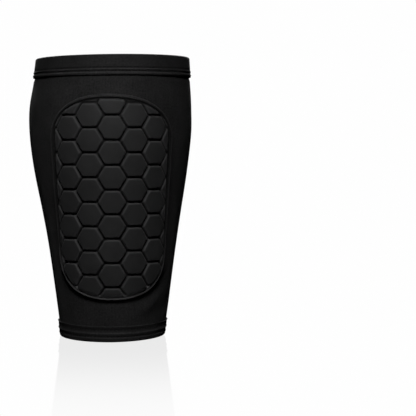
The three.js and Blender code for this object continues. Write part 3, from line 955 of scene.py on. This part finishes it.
def rim_lift(run, out):
    """Fine dimples where the stitches draw the tape in, and a little unevenness."""
    dimples = RIM_DIMPLE * np.sin(2 * math.pi * run / RIM_PITCH)
    uneven = UNEVEN_RIM * waves(run, 0, seed=31, count=5, longest=60.0, shortest=18.0)
    return max(out - SEEN_ABOVE, 0) / 2 * (dimples + uneven)


def rim_painted_light(obj):
    """Painted highlight on the tape's crest at the pad's lower end, and painted shade on its inner
    slope where it meets the cells, away from the lower end.
    """
    line = pad_outline(RIM_POINTS)[0]
    painted_shade, painted_highlight = [], []
    for inwards, out in RIM_SECTION:
        toe = toe_share(inset(line, inwards)[:, 1])
        inner = min(max((inwards - 1.6) / 0.8, 0), 1) * (out > SEEN_ABOVE)
        crest = math.exp(-((inwards - 1.7) ** 2)) * (out > SEEN_ABOVE)
        painted_shade.append(RIM_PAINTED_SHADE * inner * (1 - toe))
        painted_highlight.append(RIM_PAINTED_HIGHLIGHT * crest * toe)
    add_values(obj, "painted_shade", np.concatenate(painted_shade))
    add_values(obj, "painted_highlight", np.concatenate(painted_highlight))


rim = pad_hoop("edge_binding", BINDING, RIM_SECTION, RIM_POINTS, rim_lift)
rim_painted_light(rim)
finish_piece(rim, "binding", "pad_edge_binding")


CHANNEL_PITCH = 2.4


def channel_stitches():
    """The stitches along the channel between the bound edge and the cells."""
    line = inset(pad_outline(round(OUTLINE_LENGTH / CHANNEL_PITCH))[0], RIM + CHANNEL)
    level = CHANNEL_LEVEL + 0.1
    centres = on_pad(*line.T, level)
    directions = unit(np.roll(centres, -1, 0) - np.roll(centres, 1, 0))
    normals = on_pad(*line.T, level + 1) - centres
    return stitches("edge_stitches", centres, directions, normals, CHANNEL_PITCH * 0.8)


finish_piece(channel_stitches(), "thread", "pad_edge_thread")


def backing_cloth():
    """The cloth that closes the pad's back: rings of points from its middle out, on both faces."""
    outline = inset(pad_outline(160)[0], 0.12)
    middle = np.array([0.0, (PAD_TOP + PAD_BOTTOM) / 2])
    rings, n = 28, len(outline)
    shares = np.arange(1, rings + 1) / rings
    flats = middle + (outline - middle)[None, :, :] * shares[:, None, None]
    both = np.concatenate([flats, flats[::-1]])
    level = np.repeat([BACKING_TOP, BACKING_UNDER], rings)[:, None]
    points = on_pad(both[..., 0], both[..., 1], level).reshape(-1, 3)
    ends = np.array([on_pad(*middle, BACKING_TOP), on_pad(*middle, BACKING_UNDER)])
    quads = grid_faces(2 * rings, n, wrap_columns=True)[:, ::-1].tolist()
    over, under = len(points), len(points) + 1
    last = (2 * rings - 1) * n
    fans = [[over, k, (k + 1) % n] for k in range(n)]
    fans += [[under, last + (k + 1) % n, last + k] for k in range(n)]
    uv = np.concatenate([both.reshape(-1, 2), [middle, middle]])
    points = np.concatenate([points, ends])
    return new_object("pad_backing_cloth", points, quads + fans, BACKING, uv)


backing = finish_piece(backing_cloth(), "cover", "pad_backing")


# ---- foam

FOAM_POINTS = 40
CORNER_SHARPNESS = 14


def foam_rings(polygon, top):
    """A block of foam with rounded shoulders over a convex cell: its rings from foot to top."""
    middle = polygon.mean(0)
    edges = unit(np.roll(polygon, -1, 0) - polygon)
    outwards = np.stack([edges[:, 1], -edges[:, 0]], -1)
    reach = ((polygon - middle) * outwards).sum(1)
    turn = np.arange(FOAM_POINTS) / FOAM_POINTS * 2 * math.pi
    heading = np.stack([np.cos(turn), np.sin(turn)], -1)
    facing = np.clip(heading @ outwards.T, 1e-3, None)
    rings = []
    for share in (0.0, 0.35, 0.7, 0.88, 0.97, 1.0):
        drawn = 0.45 + 1.6 * share + 0.9 * (1 - math.sqrt(1 - share**6))
        drawn = min(drawn, reach.min() * 0.8)
        sides = (facing / (reach - drawn)[None, :]) ** CORNER_SHARPNESS
        radius = sides.sum(1) ** (-1 / CORNER_SHARPNESS)
        rings.append((middle + heading * radius[:, None], FOAM_UNDER + (top - FOAM_UNDER) * share))
    rings.append((middle + (rings[-1][0] - middle) * 0.5, top))
    return middle, rings


def foam_mesh(polygon, top):
    """Points and faces of one closed block."""
    middle, rings = foam_rings(polygon, top)
    points = np.concatenate([on_pad(*flat.T, out) for flat, out in rings])
    n = FOAM_POINTS
    quads = grid_faces(len(rings), n, wrap_columns=True).tolist()
    low, high = len(points), len(points) + 1
    ends = np.array([on_pad(*middle, FOAM_UNDER), on_pad(*middle, top)])
    start = (len(rings) - 1) * n
    fans = [[low, (k + 1) % n, k] for k in range(n)]
    fans += [[high, start + k, start + (k + 1) % n] for k in range(n)]
    return np.concatenate([points, ends]), quads + fans


def web_mesh(across, lowest, highest):
    """Points and faces of the thin web under the cut-off blocks of one side."""
    rows = np.linspace(lowest, highest, 60)
    left, right = across - WEB_HALF, across + WEB_HALF
    section = [(left, FOAM_UNDER), (right, FOAM_UNDER), (right, FOAM_WEB), (left, FOAM_WEB)]
    points = np.stack([on_pad(place, rows, out) for place, out in section], 1).reshape(-1, 3)
    last = len(points) - 4
    ends = [[3, 2, 1, 0], [last, last + 1, last + 2, last + 3]]
    return points, grid_faces(len(rows), 4, wrap_columns=True).tolist() + ends


def edge_strip(column, side, polygons):
    """The cut-off blocks along one long side, hanging together on their web."""
    kept = [p for p in polygons if depth_inside(p.mean(0)[None, :], p)[0] >= SMALLEST_CELL]
    heights = [polygon.mean(0)[1] for polygon in kept]
    bodies = [foam_mesh(polygon, FOAM_TOP - EDGE_DROP) for polygon in kept]
    bodies.append(web_mesh(math.copysign(WEB_ACROSS, column), min(heights), max(heights)))
    faces, start = [], 0
    for points, body_faces in bodies:
        faces += [[v + start for v in face] for face in body_faces]
        start += len(points)
    points = np.concatenate([points for points, _ in bodies])
    piece = new_object(f"edge_foam_{side}_strip", points, faces, FOAM)
    finish_piece(piece, "foam", f"edge_foam_{side}")


def foam_pieces():
    """Every foam block of the five middle columns, and the two strips of cut-off blocks."""
    cut_off = {-LAST_COLUMN: [], LAST_COLUMN: []}
    for column, number, polygon in honeycomb():
        if column in cut_off:
            cut_off[column].append(polygon)
            continue
        name = f"{'abcde'[column + 2]}{number}"
        if f"foam_block_{name}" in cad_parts:
            piece = new_object(f"foam_{name}", *foam_mesh(polygon, FOAM_TOP), FOAM)
            finish_piece(piece, "foam", f"foam_block_{name}")
    for column, side in ((-LAST_COLUMN, "outer"), (LAST_COLUMN, "inner")):
        edge_strip(column, side, cut_off[column])


foam_pieces()


# ---- floor, backdrop, camera, lights

WHITE = 0.992
BACKDROP_RADIUS, FLOOR_RADIUS = 5.0, 4.98
FLOOR_LEVEL = -0.0004
# The floor's faint mirror, in two parts: where each fades from and to in metres, and its strength.
NEAR_MIRROR = (0.05, 0.34, 0.135)
FAR_MIRROR = (0.2, 0.9, 0.04)


def emitter(name):
    """A white surface with a light of its own."""
    material = bpy.data.materials.new(name)
    material.use_nodes = True
    tree = material.node_tree
    tree.nodes.remove(tree.nodes["Principled BSDF"])
    light = tree.nodes.new("ShaderNodeEmission")
    light.inputs["Strength"].default_value = WHITE
    tree.links.new(light.outputs[0], tree.nodes["Material Output"].inputs["Surface"])
    return material, light


def stage_object(name, bm, material):
    """An object of the stage from a bmesh, which is freed."""
    mesh = bpy.data.meshes.new(name)
    bm.to_mesh(mesh)
    bm.free()
    mesh.materials.append(material)
    obj = bpy.data.objects.new(name, mesh)
    scene.collection.objects.link(obj)
    return obj


def backdrop_sphere():
    bm = bmesh.new()
    bmesh.ops.create_uvsphere(bm, u_segments=64, v_segments=32, radius=BACKDROP_RADIUS)
    bmesh.ops.reverse_faces(bm, faces=bm.faces)
    return stage_object("backdrop", bm, emitter("backdrop_white")[0])


def floor_material():
    """White, with a faint mirror near the middle that fades outwards."""
    material, light = emitter("floor_white")
    nodes, link = material.node_tree.nodes, material.node_tree.links.new
    gloss = nodes.new("ShaderNodeBsdfGlossy")
    gloss.inputs["Roughness"].default_value = 0.06
    gloss.inputs["Color"].default_value = (1, 1, 1, 1)
    place = nodes.new("ShaderNodeTexCoord")
    size = nodes.new("ShaderNodeVectorMath")
    size.operation = "LENGTH"
    link(place.outputs["Object"], size.inputs[0])
    share = nodes.new("ShaderNodeMath")
    share.operation = "ADD"
    for slot, (start, end, most) in enumerate((NEAR_MIRROR, FAR_MIRROR)):
        ramp = nodes.new("ShaderNodeMapRange")
        ramp.interpolation_type = "SMOOTHSTEP"
        for key, value in (("From Min", start), ("From Max", end), ("To Min", most), ("To Max", 0.0)):
            ramp.inputs[key].default_value = value
        link(size.outputs["Value"], ramp.inputs["Value"])
        link(ramp.outputs["Result"], share.inputs[slot])
    mix = nodes.new("ShaderNodeMixShader")
    link(share.outputs[0], mix.inputs["Fac"])
    link(light.outputs[0], mix.inputs[1])
    link(gloss.outputs[0], mix.inputs[2])
    link(mix.outputs[0], nodes["Material Output"].inputs["Surface"])
    return material


def floor_disc():
    bm = bmesh.new()
    bmesh.ops.create_circle(bm, cap_ends=True, segments=96, radius=FLOOR_RADIUS)
    obj = stage_object("floor", bm, floor_material())
    obj.location.z = FLOOR_LEVEL
    return obj


backdrop = backdrop_sphere()
floor = floor_disc()
# The backdrop lights only the floor, so that the object keeps its own soft lights.
only_floor = bpy.data.collections.new("lit_by_backdrop")
only_floor.objects.link(floor)
backdrop.light_linking.receiver_collection = only_floor
floor.visible_diffuse = False
floor.visible_glossy = False

world = bpy.data.worlds.new("studio")
scene.world = world
world.use_nodes = True
background = world.node_tree.nodes["Background"]
background.inputs["Color"].default_value = (1, 1, 1, 1)
background.inputs["Strength"].default_value = 0.02


def area_light(name, location, target, size, power, spread=180.0):
    """A soft rectangular light, its places and size in metres and its spread in degrees."""
    data = bpy.data.lights.new(name, "AREA")
    data.spread = math.radians(spread)
    data.shape = "RECTANGLE"
    data.size, data.size_y = size
    data.energy = power
    light = bpy.data.objects.new(name, data)
    light.location = location
    light.rotation_euler = (Vector(target) - Vector(location)).to_track_quat("-Z", "Y").to_euler()
    scene.collection.objects.link(light)


area_light("key", (-0.02, -0.58, 0.53), (-0.01, -0.06, 0.13), (0.2, 0.24), 0.165, 31.0)
area_light("front", (-0.05, -0.95, 0.36), (0, -0.06, 0.2), (0.5, 0.3), 0.115)
area_light("back", (0.0, 1.3, 0.9), (0, 0, 0.12), (0.8, 0.6), 40)

CAMERA_PLACE = (0.00098, -1.22286, 0.1613)
CAMERA_PITCH, CAMERA_YAW = -2.679, -3.619
LENS, SENSOR = 131.3, 36.0

camera_data = bpy.data.cameras.new("camera")
camera_data.lens = LENS
camera_data.sensor_width = SENSOR
camera = bpy.data.objects.new("camera", camera_data)
camera.location = CAMERA_PLACE
camera.rotation_euler = (math.radians(90 + CAMERA_PITCH), 0, math.radians(CAMERA_YAW))
scene.collection.objects.link(camera)
scene.camera = camera
scene.view_settings.view_transform = "Standard"
